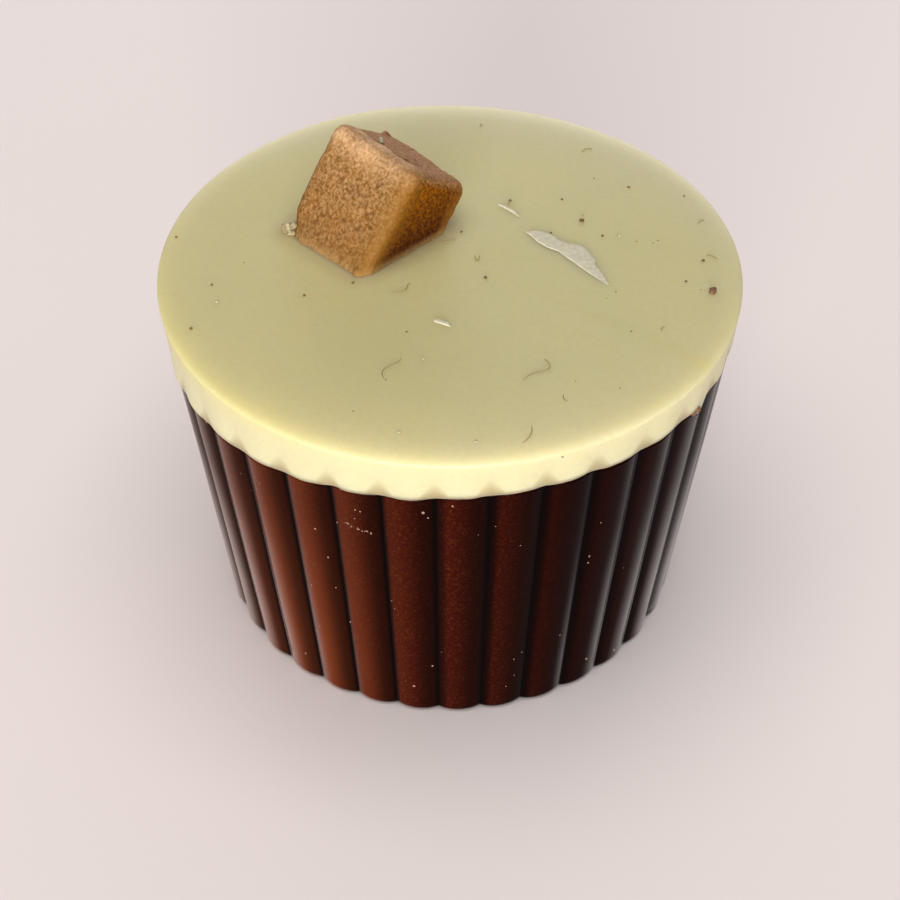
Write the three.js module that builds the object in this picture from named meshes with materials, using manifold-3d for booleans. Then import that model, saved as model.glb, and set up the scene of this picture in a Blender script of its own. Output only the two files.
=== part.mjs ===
// A moulded chocolate bonbon: a fluted dark chocolate cup, a layer of white
// chocolate poured level over it, and a block of fudge pressed into the top
// while it was soft, so that it leans. Flakes of white chocolate lie on the top.
//
// Millimetres, +Z up. The origin is the middle of the flat base, and the side
// that is looked at most faces -Y. Bearings are degrees round the axis from
// that front, positive towards +X.

import * as THREE from 'three';
import * as BufferGeometryUtils from 'three/addons/utils/BufferGeometryUtils.js';
import { RoundedBoxGeometry } from 'three/addons/geometries/RoundedBoxGeometry.js';
import Module from 'manifold-3d';

// ---- Driving dimensions ----------------------------------------------------

// The mould: a cup with drafted, fluted walls, filled wide end up.
const TOP_RADIUS = 17.55;
const BASE_RADIUS = 14.6;
const HEIGHT = 24.25;
const BASE_CHAMFER = 0.25;

// The flutes: broad rounded lobes with narrow valleys between them.
const FLUTES = 34;
const FLUTE_DEPTH = 0.32;
const LOBE_POWER = 2.2;
const FIRST_VALLEY_BEARING = -2.8;
const LOBE_STEPS = [0, 0.09, 0.24, 0.5, 0.76, 0.91];

// The white layer's flutes are softer: they start at a share of the dark ones
// just above the line, and have faded out where the rim begins.
const LIP_HEIGHT = 0.15;
const SOFT_SHARE = 0.4;

// The rim of the white layer, where the poured top falls away to the wall on a
// superellipse: almost flat far in, and steep at the edge.
const RIM_WIDTH = 8.0;
const RIM_DROP = 0.85;
const RIM_POWER = 2.5;
const RIM_STEPS = 6;

// The rim isn't quite round: proud in places at the back, short in another.
const RIM_SWELLS = [
  { bearing: 203, spread: 12, rise: 0.18 },
  { bearing: 236, spread: 26, rise: 0.15 },
  { bearing: 155, spread: 26, rise: -0.12 },
];

// The line where white meets dark at the side, and the shallow dish below it.
const LINE_HEIGHT = 20.3;
const LINE_TILT = 0.78;
const LINE_SADDLE = 0.44;
const DISH_DEPTH = 1.2;
const DISH_RING = 0.5;

// The fudge block, by its own edges, and how it was pressed in.
const BLOCK = { width: 6.0, length: 7.2, height: 8.4 };
const BLOCK_ROUNDING = 0.85;
const BLOCK_ROUNDING_STEPS = 3;
const BLOCK_TURN = 46.6;
const BLOCK_LEAN = 34.6;
const BLOCK_ROLL = 4.3;
const BLOCK_CENTRE = new THREE.Vector3(-4.64, 3.15, HEIGHT + 0.95);
const POCKET_GAP = 0.3;

// Flakes on the top: a spine from tip to tail, bent aside by a sagitta, with
// the widest and thickest place in the middle.
const FLAKE_STEPS = 8;
const FLAKE_SIDES = 6;
const FLAKES = [
  { from: [4.5, 2.6], to: [9.2, -2.5], bow: 0.5, width: 1.4, height: 0.35 },
  { from: [2.95, 5.4], to: [4.3, 4.05], bow: 0.0, width: 0.26, height: 0.22 },
  { from: [-0.95, -5.95], to: [0.0, -6.45], bow: 0.05, width: 0.4, height: 0.3 },
  { from: [-10.15, 3.7], to: [-9.2, 2.75], bow: 0.0, width: 0.75, height: 0.9 },
];

const DARK = 0x4a2414;
const WHITE = 0xe6d9a4;
const FUDGE = 0xb5834c;

// ---- Shape of the moulded side ---------------------------------------------

const SIDES = FLUTES * LOBE_STEPS.length;
const radians = THREE.MathUtils.degToRad;

// The bearing of one of the SIDES corners of a ring, counted round the flutes.
function bearingOf(corner) {
  const flute = Math.floor(corner / LOBE_STEPS.length);
  const step = LOBE_STEPS[corner % LOBE_STEPS.length];
  return FIRST_VALLEY_BEARING + (360 / FLUTES) * (flute + step);
}

// How far the wall lies inside the lobes' crests: nothing over most of a lobe,
// and the whole flute depth in the valley.
function fluteCut(bearing) {
  const turns = (bearing - FIRST_VALLEY_BEARING) / (360 / FLUTES);
  const fromCrest = Math.abs(turns - Math.floor(turns) - 0.5) * 2;
  return FLUTE_DEPTH * fromCrest ** LOBE_POWER;
}

// A bell round one bearing, 1 in its middle.
function swell(bearing, { bearing: middle, spread, rise }) {
  const away = ((bearing - middle + 540) % 360) - 180;
  return rise * Math.exp(-((away / spread) ** 2));
}

// The crest radius at a height: the mould's straight draft, with the rim's
// unevenness growing from nothing at the base to its full size at the top.
function crestRadius(bearing, z) {
  const up = z / HEIGHT;
  const drafted = BASE_RADIUS + (TOP_RADIUS - BASE_RADIUS) * up;
  const uneven = RIM_SWELLS.reduce((sum, one) => sum + swell(bearing, one), 0);
  return drafted + uneven * up ** 3;
}

function place(bearing, radius, z) {
  const angle = radians(bearing - 90);
  return new THREE.Vector3(radius * Math.cos(angle), radius * Math.sin(angle), z);
}

// A ring of corners. inset moves the crests in, and depth scales the flutes.
function ring(heightAt, inset = 0, depth = 1) {
  return Array.from({ length: SIDES }, (_, corner) => {
    const bearing = bearingOf(corner);
    const z = heightAt(bearing);
    const radius = crestRadius(bearing, z) - inset - depth * fluteCut(bearing);
    return place(bearing, radius, z);
  });
}

function lineHeight(bearing) {
  const turn = radians(bearing);
  return LINE_HEIGHT + LINE_TILT * Math.sin(turn) + LINE_SADDLE * Math.cos(2 * turn);
}

// ---- Closed solids from rings ----------------------------------------------

// Collects triangles, given by their corners, into a merged closed geometry.
class Skin {
  corners = [];

  triangle(a, b, c) {
    for (const corner of [a, b, c]) this.corners.push(corner.x, corner.y, corner.z);
  }

  // The band between two rings of the same count, the second above the first.
  band(low, high) {
    low.forEach((corner, i) => {
      const next = (i + 1) % low.length;
      this.triangle(corner, low[next], high[next]);
      this.triangle(corner, high[next], high[i]);
    });
  }

  // A face from a ring to its middle, over a coarser ring with one corner for
  // each flute. facing is 1 for a face that looks up and -1 for one below.
  face(outer, inner, middle, facing) {
    const put = (a, b, c) => (facing > 0 ? this.triangle(a, b, c) : this.triangle(a, c, b));
    inner.forEach((corner, i) => {
      const nextInner = inner[(i + 1) % inner.length];
      const first = i * LOBE_STEPS.length;
      LOBE_STEPS.forEach((_, step) => {
        put(outer[first + step], outer[(first + step + 1) % outer.length], corner);
      });
      put(outer[(first + LOBE_STEPS.length) % outer.length], nextInner, corner);
      put(corner, nextInner, middle);
    });
  }

  geometry() {
    const geometry = new THREE.BufferGeometry();
    geometry.setAttribute('position', new THREE.Float32BufferAttribute(this.corners, 3));
    return BufferGeometryUtils.mergeVertices(geometry, 1e-4);
  }
}

// The inner ring of a face that dips by depth in its middle, as a bowl does.
function bowlRing(heightAt, depth) {
  return Array.from({ length: FLUTES }, (_, flute) => {
    const bearing = bearingOf(flute * LOBE_STEPS.length);
    const z = heightAt(bearing) - depth * (1 - DISH_RING ** 2);
    return place(bearing, DISH_RING * TOP_RADIUS, z);
  });
}

const axisPoint = (z) => new THREE.Vector3(0, 0, z);
const lineRing = ring(lineHeight);
const dishRing = bowlRing(lineHeight, DISH_DEPTH);
const dishMiddle = axisPoint(LINE_HEIGHT - DISH_DEPTH);

function darkCup() {
  const skin = new Skin();
  const foot = ring(() => 0, BASE_CHAMFER);
  const wallFoot = ring(() => BASE_CHAMFER);
  skin.face(foot, bowlRing(() => 0, 0), axisPoint(0), -1);
  skin.band(foot, wallFoot);
  skin.band(wallFoot, lineRing);
  skin.face(lineRing, dishRing, dishMiddle, 1);
  return skin.geometry();
}

// The white layer: it steps out over the valleys at the line, goes on up the
// moulded wall while its flutes fade out, and turns over at the rim.
function whiteLayer() {
  const skin = new Skin();
  const rings = [lineRing, ring((bearing) => lineHeight(bearing) + LIP_HEIGHT, 0, SOFT_SHARE)];
  for (let step = 0; step <= RIM_STEPS; step += 1) {
    const turn = (step / RIM_STEPS) * (Math.PI / 2);
    const z = HEIGHT - RIM_DROP * (1 - Math.sin(turn));
    rings.push(ring(() => z, RIM_WIDTH * (1 - Math.cos(turn) ** (2 / RIM_POWER)), 0));
  }
  skin.face(lineRing, dishRing, dishMiddle, -1);
  rings.slice(1).forEach((upper, i) => skin.band(rings[i], upper));
  skin.face(rings.at(-1), bowlRing(() => HEIGHT, 0), axisPoint(HEIGHT), 1);
  return skin.geometry();
}

// A block with rounded edges, every side moved out by grow, leaning where it
// was pressed in.
function fudgeBlock(grow = 0) {
  const sides = [BLOCK.width, BLOCK.length, BLOCK.height].map((side) => side + 2 * grow);
  const rounding = BLOCK_ROUNDING + grow;
  const geometry = bare(new RoundedBoxGeometry(...sides, BLOCK_ROUNDING_STEPS, rounding));
  const lean = new THREE.Euler(...[BLOCK_ROLL, BLOCK_LEAN, BLOCK_TURN].map(radians), 'ZYX');
  const pose = new THREE.Matrix4().makeRotationFromEuler(lean).setPosition(BLOCK_CENTRE);
  return geometry.applyMatrix4(pose);
}

// A flake: elliptical sections along a bowed spine, pinched to a point at both
// ends, with its lower half sunk in the top.
function flake({ from, to, bow, width, height }) {
  const skin = new Skin();
  const start = new THREE.Vector2(...from);
  const along = new THREE.Vector2(...to).sub(start);
  const across = new THREE.Vector2(-along.y, along.x).normalize();
  const sections = [];
  for (let step = 1; step < FLAKE_STEPS; step += 1) {
    const t = step / FLAKE_STEPS;
    const fullness = Math.sqrt(Math.sin(Math.PI * t));
    const spine = start.clone().addScaledVector(along, t);
    spine.addScaledVector(across, bow * 4 * t * (1 - t));
    sections.push(Array.from({ length: FLAKE_SIDES }, (_, side) => {
      const turn = (2 * Math.PI * side) / FLAKE_SIDES;
      const aside = spine.clone().addScaledVector(across, (width / 2) * fullness * Math.cos(turn));
      return new THREE.Vector3(aside.x, aside.y, HEIGHT + height * fullness * Math.sin(turn));
    }));
  }
  const ends = [from, to].map(([x, y]) => new THREE.Vector3(x, y, HEIGHT));
  sections.slice(1).forEach((next, i) => skin.band(sections[i], next));
  for (let side = 0; side < FLAKE_SIDES; side += 1) {
    const after = (side + 1) % FLAKE_SIDES;
    skin.triangle(ends[0], sections[0][after], sections[0][side]);
    skin.triangle(ends[1], sections.at(-1)[side], sections.at(-1)[after]);
  }
  return skin.geometry();
}

// ---- Cutting and joining ---------------------------------------------------

const wasm = await Module();
wasm.setup();

// A geometry with nothing but merged positions.
function bare(geometry) {
  geometry.deleteAttribute('normal');
  geometry.deleteAttribute('uv');
  return BufferGeometryUtils.mergeVertices(geometry, 1e-4);
}

function solid(geometry) {
  return new wasm.Manifold(new wasm.Mesh({
    numProp: 3,
    vertProperties: new Float32Array(geometry.attributes.position.array),
    triVerts: new Uint32Array(geometry.index.array),
  }));
}

function geometryOf(shape) {
  const { vertProperties, triVerts } = shape.getMesh();
  const geometry = new THREE.BufferGeometry();
  geometry.setAttribute('position', new THREE.BufferAttribute(vertProperties, 3));
  geometry.setIndex(new THREE.BufferAttribute(triVerts, 1));
  return geometry;
}

// The white layer with its flakes on it and the pocket that the block sits in.
function whiteLayerWithFlakes() {
  const pocket = solid(fudgeBlock(POCKET_GAP));
  const joined = FLAKES.reduce((shape, one) => shape.add(solid(flake(one))), solid(whiteLayer()));
  return geometryOf(joined.subtract(pocket));
}

// ---- The pieces ------------------------------------------------------------

function piece(name, geometry, color, roughness) {
  const material = new THREE.MeshStandardMaterial({ color, roughness, metalness: 0 });
  const mesh = new THREE.Mesh(geometry, material);
  mesh.name = name;
  return mesh;
}

const bonbon = new THREE.Group();
bonbon.add(piece('dark_chocolate_cup', darkCup(), DARK, 0.35));
bonbon.add(piece('white_chocolate_layer', whiteLayerWithFlakes(), WHITE, 0.5));
bonbon.add(piece('fudge_block', fudgeBlock(), FUDGE, 0.7));

export default bonbon;
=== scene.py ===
# %% [markdown]
# # A chocolate bonbon
#
# This bonbon is poured in two goes into a fluted mould that stands wide end up.
# Dark chocolate fills most of it and sets. White chocolate is poured over it to the
# brim, and a block of fudge is pushed into the white while that is still soft.
#
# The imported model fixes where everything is. This lesson makes the surfaces that
# the eye sees around it: the moulded flutes, the poured top with its soft shoulder,
# the grain of the fudge, and the crumbs and shavings that a real one carries.

import bmesh
import bpy
import numpy as np
from mathutils import Matrix, Vector


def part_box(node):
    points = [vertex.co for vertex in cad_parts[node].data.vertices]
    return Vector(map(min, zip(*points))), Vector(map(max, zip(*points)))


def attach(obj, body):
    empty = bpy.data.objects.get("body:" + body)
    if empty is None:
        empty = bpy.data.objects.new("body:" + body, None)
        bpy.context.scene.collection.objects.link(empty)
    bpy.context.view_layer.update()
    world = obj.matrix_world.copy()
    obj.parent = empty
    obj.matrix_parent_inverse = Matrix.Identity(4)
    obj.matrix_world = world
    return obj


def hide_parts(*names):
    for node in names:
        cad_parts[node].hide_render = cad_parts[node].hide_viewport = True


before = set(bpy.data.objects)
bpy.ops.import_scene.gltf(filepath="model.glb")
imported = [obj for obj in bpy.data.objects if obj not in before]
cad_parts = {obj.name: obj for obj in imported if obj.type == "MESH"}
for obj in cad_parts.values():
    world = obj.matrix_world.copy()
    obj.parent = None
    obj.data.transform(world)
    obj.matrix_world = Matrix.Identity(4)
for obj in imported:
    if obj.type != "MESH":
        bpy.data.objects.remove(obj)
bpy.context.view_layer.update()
print("nodes:", sorted(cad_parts))

# %% [markdown]
# ## Sizes
#
# Shapes are worked out in millimetres, because a bonbon is thought of that way, and
# become metres only when a mesh is made. The origin is the middle of the base, and
# the front faces -Y. A bearing is an angle round the axis from the front, in
# degrees, positive towards +X. The sizes are those of the solids, and the printed
# boxes show that they agree.

# %% Driving sizes
MM = 0.001
TOP_RADIUS = 17.55
BASE_RADIUS = 14.6
HEIGHT = 24.25
BASE_CHAMFER = 0.25

FLUTES = 34
FLUTE_ANGLE = 360 / FLUTES
FIRST_VALLEY = -2.8
FLUTE_DEPTH = 0.32

RIM_WIDTH = 8.0
RIM_DROP = 0.85

for node in ("dark_chocolate_cup", "white_chocolate_layer", "fudge_block"):
    low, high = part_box(node)
    print(f"{node}: from {low.z / MM:.2f} to {high.z / MM:.2f} mm")
print(f"brim at {HEIGHT} mm, {2 * TOP_RADIUS} mm across")

# %% [markdown]
# ## Meshes from arrays
#
# Every surface here is a grid of points: rings stacked up an axis, or sections along
# a path. One helper knows how to join such a grid with four-sided faces and to close
# both its ends, and one puts the arrays into a mesh. Joining whole rings at once
# keeps Python out of the loop over points. A closed skin whose faces point outwards
# encloses a positive volume, so the volume is printed as a check.

# %% A closed skin from a stack of rings
def closed_stack(grid):
    """Points and faces of a skin: quads between each ring and the next, and a point
    in the middle of the first and of the last ring that a fan joins to it. Faces
    point out when the rings turn counter-clockwise as seen from the last one."""
    rings, columns, _ = grid.shape
    middles = np.stack([grid[0].mean(axis=0), grid[-1].mean(axis=0)])
    points = np.concatenate([grid.reshape(-1, 3), middles])
    ring, column = np.meshgrid(np.arange(rings - 1), np.arange(columns), indexing="ij")
    after = (column + 1) % columns
    low, high = ring * columns, (ring + 1) * columns
    quads = np.stack([low + column, low + after, high + after, high + column], axis=-1)
    column, after = column[0], after[0]
    start = np.full(columns, rings * columns)
    last = (rings - 1) * columns
    low_fan = np.stack([after, column, start], axis=-1)
    high_fan = np.stack([last + column, last + after, start + 1], axis=-1)
    return points, quads.reshape(-1, 4).tolist() + low_fan.tolist() + high_fan.tolist()


def joined(grids):
    """Several closed stacks as one set of points and faces."""
    points, faces, count = [], [], 0
    for grid in grids:
        own, own_faces = closed_stack(grid)
        points.append(own)
        faces += [[corner + count for corner in face] for face in own_faces]
        count += len(own)
    return np.concatenate(points), faces


# %% Arrays into a piece
def enclosed_volume(mesh):
    """Cubic millimetres inside a closed mesh, negative if its faces point inwards."""
    skin = bmesh.new()
    skin.from_mesh(mesh)
    volume = skin.calc_volume(signed=True) / MM**3
    skin.free()
    return volume


def make_piece(name, points, faces, attributes=None):
    """A smooth-shaded mesh object from points in millimetres. Each attribute is one
    number a point, which a material can read by its name."""
    mesh = bpy.data.meshes.new(name)
    mesh.from_pydata((np.asarray(points) * MM).tolist(), [], faces)
    for label, values in (attributes or {}).items():
        layer = mesh.attributes.new(label, "FLOAT", "POINT")
        layer.data.foreach_set("value", np.asarray(values, dtype=np.float32))
    mesh.polygons.foreach_set("use_smooth", np.ones(len(mesh.polygons), dtype=bool))
    mesh.update()
    piece = bpy.data.objects.new(name, mesh)
    bpy.context.scene.collection.objects.link(piece)
    print(f"{name}: {len(mesh.polygons)} faces round {enclosed_volume(mesh):.3f} mm3")
    return piece


def finish_piece(piece, material, slot, *nodes):
    """Gives a piece its material, lets it ride on the one body, and hides the solids that
    it stands for."""
    piece.data.materials.append(material)
    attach(piece, "root")
    if nodes:
        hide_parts(*nodes)
    print(f"{piece.name}: {material.name} on {len(piece.data.vertices)} points")


# %% [markdown]
# ## Unevenness
#
# Nothing poured or broken is exact. Value noise gives a smooth random number at
# every place in space: a random value at each corner of a lattice, blended between
# the corners. Layers of finer and finer noise make the roughness of a broken or
# sugary surface, and a fixed seed makes it the same in every run.

# %% Noise and easing on whole arrays
NOISE_SIZE = 32


def smooth_noise(points, cell, seed):
    """Value noise from -1 to 1 at points in millimetres, for lattice cells of that
    size: the corners' random values weighted by smoothed nearness."""
    table = np.random.default_rng(seed).uniform(-1, 1, (NOISE_SIZE,) * 3)
    scaled = np.asarray(points) / cell
    low = np.floor(scaled).astype(int)
    part = scaled - low
    part = part * part * (3 - 2 * part)
    total = np.zeros(part.shape[:-1])
    for corner in np.ndindex(2, 2, 2):
        side = np.array(corner)
        i, j, k = np.moveaxis((low + side) % NOISE_SIZE, -1, 0)
        total += np.prod(np.where(side == 1, part, 1 - part), axis=-1) * table[i, j, k]
    return total


def smooth_step(value, start, end):
    """0 before start, 1 after end, and an S-shaped rise in between."""
    t = np.clip((value - start) / (end - start), 0, 1)
    return t * t * (3 - 2 * t)


def bell(bearing, middle, spread):
    """1 at the middle bearing, dying away on both sides over the spread: e to the
    power of minus the square of the gap over the spread."""
    gap = (bearing - middle + 540) % 360 - 180
    return np.exp(-((gap / spread) ** 2))


def around(bearing, radius, z):
    """Points in space from a bearing, a radius and a height."""
    angle = np.radians(bearing - 90)
    flat = [radius * np.cos(angle), radius * np.sin(angle), z]
    return np.stack(np.broadcast_arrays(*flat), axis=-1)


# %% [markdown]
# ## The moulded wall
#
# The mould has a straight draft and 34 flutes: convex lobes that meet in narrow
# valleys. A power of the distance from a lobe's crest draws such a section, with the
# corner in the valley rounded off. The mould isn't divided quite evenly, so some
# valleys sit up to a degree further round than the solids' or less far. Each such
# drift is a bell with a middle bearing, a spread and a size, all in degrees. Points
# crowd towards the valleys, where the surface turns fastest.

# %% Section of the flutes
LOBE_POWER = 2.2
VALLEY_ROUNDING = 0.04
VALLEY_DRIFTS = ((-33, 16, 0.8), (22, 20, -0.5), (64, 8, 0.9))
CROWDING = 0.11


def column_bearings(steps):
    """Bearings round the wall, steps to a flute, closer together at the valleys."""
    t = np.arange(steps) / steps
    crowded = t - CROWDING * np.sin(2 * np.pi * t)
    return (FIRST_VALLEY + FLUTE_ANGLE * (np.arange(FLUTES)[:, None] + crowded)).ravel()


def lobes_round(bearing):
    """How many lobes round from the first valley a bearing lies, less the drifts."""
    drift = sum(size * bell(bearing, middle, spread) for middle, spread, size in VALLEY_DRIFTS)
    return (bearing - FIRST_VALLEY - drift) / FLUTE_ANGLE


def across_lobe(bearing):
    """How far a bearing lies across its own lobe, from -1 at the valley on its left
    to 1 at the one on its right."""
    turns = lobes_round(bearing)
    return (turns - np.floor(turns) - 0.5) * 2


def valley_share(bearing, rounding=VALLEY_ROUNDING, power=LOBE_POWER):
    """0 at a lobe's crest and nearly 1 in a valley: the distance from the crest, with
    its corner in the valley rounded off, to a power."""
    from_crest = np.abs(across_lobe(bearing))
    from_valley = np.hypot(1 - from_crest, rounding)
    return np.clip(1 - from_valley, 0, 1) ** power


# %% [markdown]
# The rim isn't a true circle: it swells a little at the back left and falls short
# at the back right, growing from nothing at the base, as in the solids. Each swell
# has a middle bearing, a spread and a rise. The cast wall also waves by a few
# hundredths of a millimetre, which breaks up its gloss. The waves are drawn out
# along the wall, because the noise sees only a share of the height.

# %% Radius of the wall
RIM_SWELLS = ((203, 12, 0.18), (236, 26, 0.15), (155, 26, -0.12))
LOBE_WOBBLE = 0.035
WALL_WOBBLE = 0.025
WOBBLE_CELL = 2.4
HEIGHT_SHARE = 0.35


def crest_radius(bearing, z):
    """Radius of the lobes' crests: the draft, and a bell for each swell of the rim."""
    up = z / HEIGHT
    uneven = sum(rise * bell(bearing, middle, spread) for middle, spread, rise in RIM_SWELLS)
    return BASE_RADIUS + (TOP_RADIUS - BASE_RADIUS) * up + uneven * up**3


def wall_wobble(bearing, z):
    """Small unevenness of the cast wall, never outwards: one part for each lobe, and
    one that drifts along it."""
    lobes = np.random.default_rng(seed=3).uniform(-1, 0, FLUTES)
    lobe = np.floor(lobes_round(bearing)).astype(int) % FLUTES
    own = lobes[lobe] * (1 - valley_share(bearing))
    place = around(bearing, TOP_RADIUS, z * HEIGHT_SHARE)
    drift = smooth_noise(place, WOBBLE_CELL, seed=4) - 1
    return LOBE_WOBBLE * own + WALL_WOBBLE * drift


# %% [markdown]
# ## Where dark meets white
#
# The dark chocolate had set at a slight tilt before the white went on, so the line
# between them is lower at the left. Along it the white has run down a little
# unevenly: a ripple has a noise cell and a size, and a run has a middle bearing, a
# spread and a rise. Inside, where nothing is seen, both are closed off by the same
# shallow dish as in the solids, each a hair to its own side of it.

# %% The line round the side
LINE_HEIGHT = 20.3
LINE_TILT = 0.78
LINE_SADDLE = 0.44
LINE_RIPPLES = ((2.2, 0.07), (0.6, 0.035))
LINE_RUNS = ((-7.5, 3.0, -0.12), (57.5, 1.6, -0.7), (-22, 1.3, 0.15), (27, 2.0, 0.12))
DISH_DEPTH = 1.2
DISH_GAP = 0.02


def line_height(bearing):
    """Height of the line at a bearing: a tilt, a saddle, two ripples and some runs."""
    turn = np.radians(bearing)
    level = LINE_HEIGHT + LINE_TILT * np.sin(turn) + LINE_SADDLE * np.cos(2 * turn)
    place = around(bearing, TOP_RADIUS, 0.0)
    ripples = sum(size * smooth_noise(place, cell, seed=11) for cell, size in LINE_RIPPLES)
    runs = sum(rise * bell(bearing, middle, spread) for middle, spread, rise in LINE_RUNS)
    return level + ripples + runs


def dish_rings(bearing, shares, lift):
    """Rings of the hidden dish at shares of the wall's radius: a bowl that deepens
    with the square of the way in."""
    line = line_height(bearing)
    edge = crest_radius(bearing, line) - FLUTE_DEPTH
    rings = []
    for share in shares:
        z = line - DISH_DEPTH * (1 - share**2) + lift
        rings.append(around(bearing, edge * share, z))
    return np.stack(rings)


# %% [markdown]
# ## The dark chocolate cup
#
# The cup is one skin: from the middle of the base out to its edge, round a small
# chamfer, up the wall to the line, and back in over the dish. The edge of the base
# crumbled a little as it left the mould, so small bites are taken out of it. Each
# point also keeps how deep in a valley and how far across its lobe it lies, for the
# material.

# %% Build the cup
CUP_STEPS = 26
CUP_ROWS = 56
ROW_CROWDING = 1.15
BASE_SHARES = (0.1, 0.5, 0.8, 0.95)
CUP_DISH_SHARES = (0.99, 0.7, 0.4, 0.1)
CHIP_CELL = 1.1
CHIP_FLATNESS = 1.5
CHIP_THRESHOLD = 0.45
CHIP_DEPTH = 0.3
CHIP_REACH = 0.35
UNDER_LIP = 0.04


def cup_wall(bearing, z):
    """Points of the dark wall: the crests' radius, less the flutes, the wobble, and
    chips that die away above the base."""
    place = around(bearing, BASE_RADIUS, z * CHIP_FLATNESS)
    chips = smooth_noise(place, CHIP_CELL, seed=7) - CHIP_THRESHOLD
    bites = CHIP_DEPTH * np.clip(chips, 0, 1) * np.exp(-z / CHIP_REACH)
    flutes = FLUTE_DEPTH * valley_share(bearing)
    radius = crest_radius(bearing, z) - flutes + wall_wobble(bearing, z) - bites
    return around(bearing, radius, z)


bearing = column_bearings(CUP_STEPS)
foot_radius = BASE_RADIUS - BASE_CHAMFER - FLUTE_DEPTH * valley_share(bearing)
base = np.stack([around(bearing, foot_radius * share, 0.0) for share in (*BASE_SHARES, 1)])
climb = np.linspace(0, 1, CUP_ROWS)[:, None] ** ROW_CROWDING
wall_top = line_height(bearing) + UNDER_LIP
wall = cup_wall(bearing[None], BASE_CHAMFER + (wall_top - BASE_CHAMFER) * climb)
dish = dish_rings(bearing, CUP_DISH_SHARES, -DISH_GAP)
cup_grid = np.concatenate([base, wall, dish])
cup_points, cup_faces = closed_stack(cup_grid)
# The valley and across values place the painted shade that the material lays in the valleys and
# on the lobes' flanks.
cup_attributes = {
    "valley": np.append(np.tile(valley_share(bearing), len(cup_grid)), [0, 0]),
    "across": np.append(np.tile(across_lobe(bearing), len(cup_grid)), [0, 0]),
}
cup = make_piece("chocolate_cup", cup_points, cup_faces, cup_attributes)

# %% [markdown]
# ## The fudge block's place
#
# The white chocolate is pushed up a little round the block and browned there, partly
# a stain and partly a painted shade at the block's foot, so the block's place comes
# before the white layer's shape. A block with rounded edges has a simple distance
# function: the distance to a smaller sharp block, less the radius of the edges.
# Turned into the block's own axes, any point can be measured.

# %% Pose and distance
BLOCK_SIDES = np.array([6.0, 7.2, 8.4])
BLOCK_ROUNDING = 0.85
BLOCK_TURN = 46.6
BLOCK_LEAN = 34.6
BLOCK_ROLL = 4.3
BLOCK_CENTRE = np.array([-4.64, 3.15, HEIGHT + 0.95])

block_axes = np.array(
    Matrix.Rotation(np.radians(BLOCK_TURN), 3, "Z")
    @ Matrix.Rotation(np.radians(BLOCK_LEAN), 3, "Y")
    @ Matrix.Rotation(np.radians(BLOCK_ROLL), 3, "X")
)


def block_distance(points):
    """Millimetres from a point to the block, negative inside it."""
    own = np.abs((points - BLOCK_CENTRE) @ block_axes)
    past = own - (BLOCK_SIDES / 2 - BLOCK_ROUNDING)
    outside = np.linalg.norm(np.maximum(past, 0), axis=-1)
    return outside + np.minimum(past.max(axis=-1), 0) - BLOCK_ROUNDING


print("block's axes:\n", block_axes.round(3))

# %% [markdown]
# ## The white layer
#
# Poured chocolate sets with a level top and a soft shoulder at the mould's edge. The
# shoulder starts nearly half of the way in, almost flat, and turns down quickly at
# the wall, which a superellipse draws. The height of the top is a function of place,
# because every crumb and shaving that lies there has to sit on it.

# %% Height of the poured top
RIM_POWER = 2.5
TOP_WAVES = ((5.5, 0.02, 21), (0.9, 0.004, 22))
RIDGE_HEIGHT = 0.07
RIDGE_REACH = 0.3


def top_relief(points):
    """How far the top departs from level: broad swells and a fine ripple, each given
    by its cell, height and seed, and a ridge that dies away from the block."""
    level = points * np.array([1, 1, 0]) + np.array([0, 0, HEIGHT])
    waves = sum(height * smooth_noise(level, cell, seed) for cell, height, seed in TOP_WAVES)
    away = np.abs(block_distance(level))
    return waves + RIDGE_HEIGHT * np.exp(-away / RIDGE_REACH)


def top_height(x, y):
    """Height of the top at a place: level, less the shoulder's drop, where the share
    of the way across it, to a power, and the height squared add up to 1."""
    points = np.stack(np.broadcast_arrays(x, y, 0.0), axis=-1)
    edge = crest_radius(np.degrees(np.arctan2(y, x)) + 90, HEIGHT - RIM_DROP)
    across = np.clip((np.hypot(x, y) - edge) / RIM_WIDTH + 1, 0, 1)
    drop = RIM_DROP * (1 - np.sqrt(1 - across**RIM_POWER))
    return HEIGHT - drop + top_relief(points) * (1 - across**2)


# %% [markdown]
# White chocolate is thicker than dark and doesn't fill the valleys of the mould, so
# its flutes are softer than those below, and have faded out where the shoulder
# begins. Its lower edge hangs over the dark in a small rounded lip, given as steps up
# from the line and out from the wall, which bulges a little further at the left.
# Starting the lip inside the dark wall closes the joint however the two skins'
# points lie.

# %% Rings of the white layer
LAYER_STEPS = 20
BAND_ROWS = 12
SHOULDER_ROWS = 44
TOP_ROWS = 50
LIP = ((-0.09, -0.16), (-0.08, -0.06), (-0.04, 0.0), (0.05, 0.035), (0.2, 0.055), (0.45, 0.06))
SOFT_ROUNDING = 0.3
SOFT_POWER = 1.8
SOFT_DEPTH = 0.26
LEFT_BULGE = (-74, 14, 0.08)
SHOULDER_CROWDING = 1.5
LAYER_DISH_SHARES = (0.1, 0.4, 0.7, 0.97)


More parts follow.
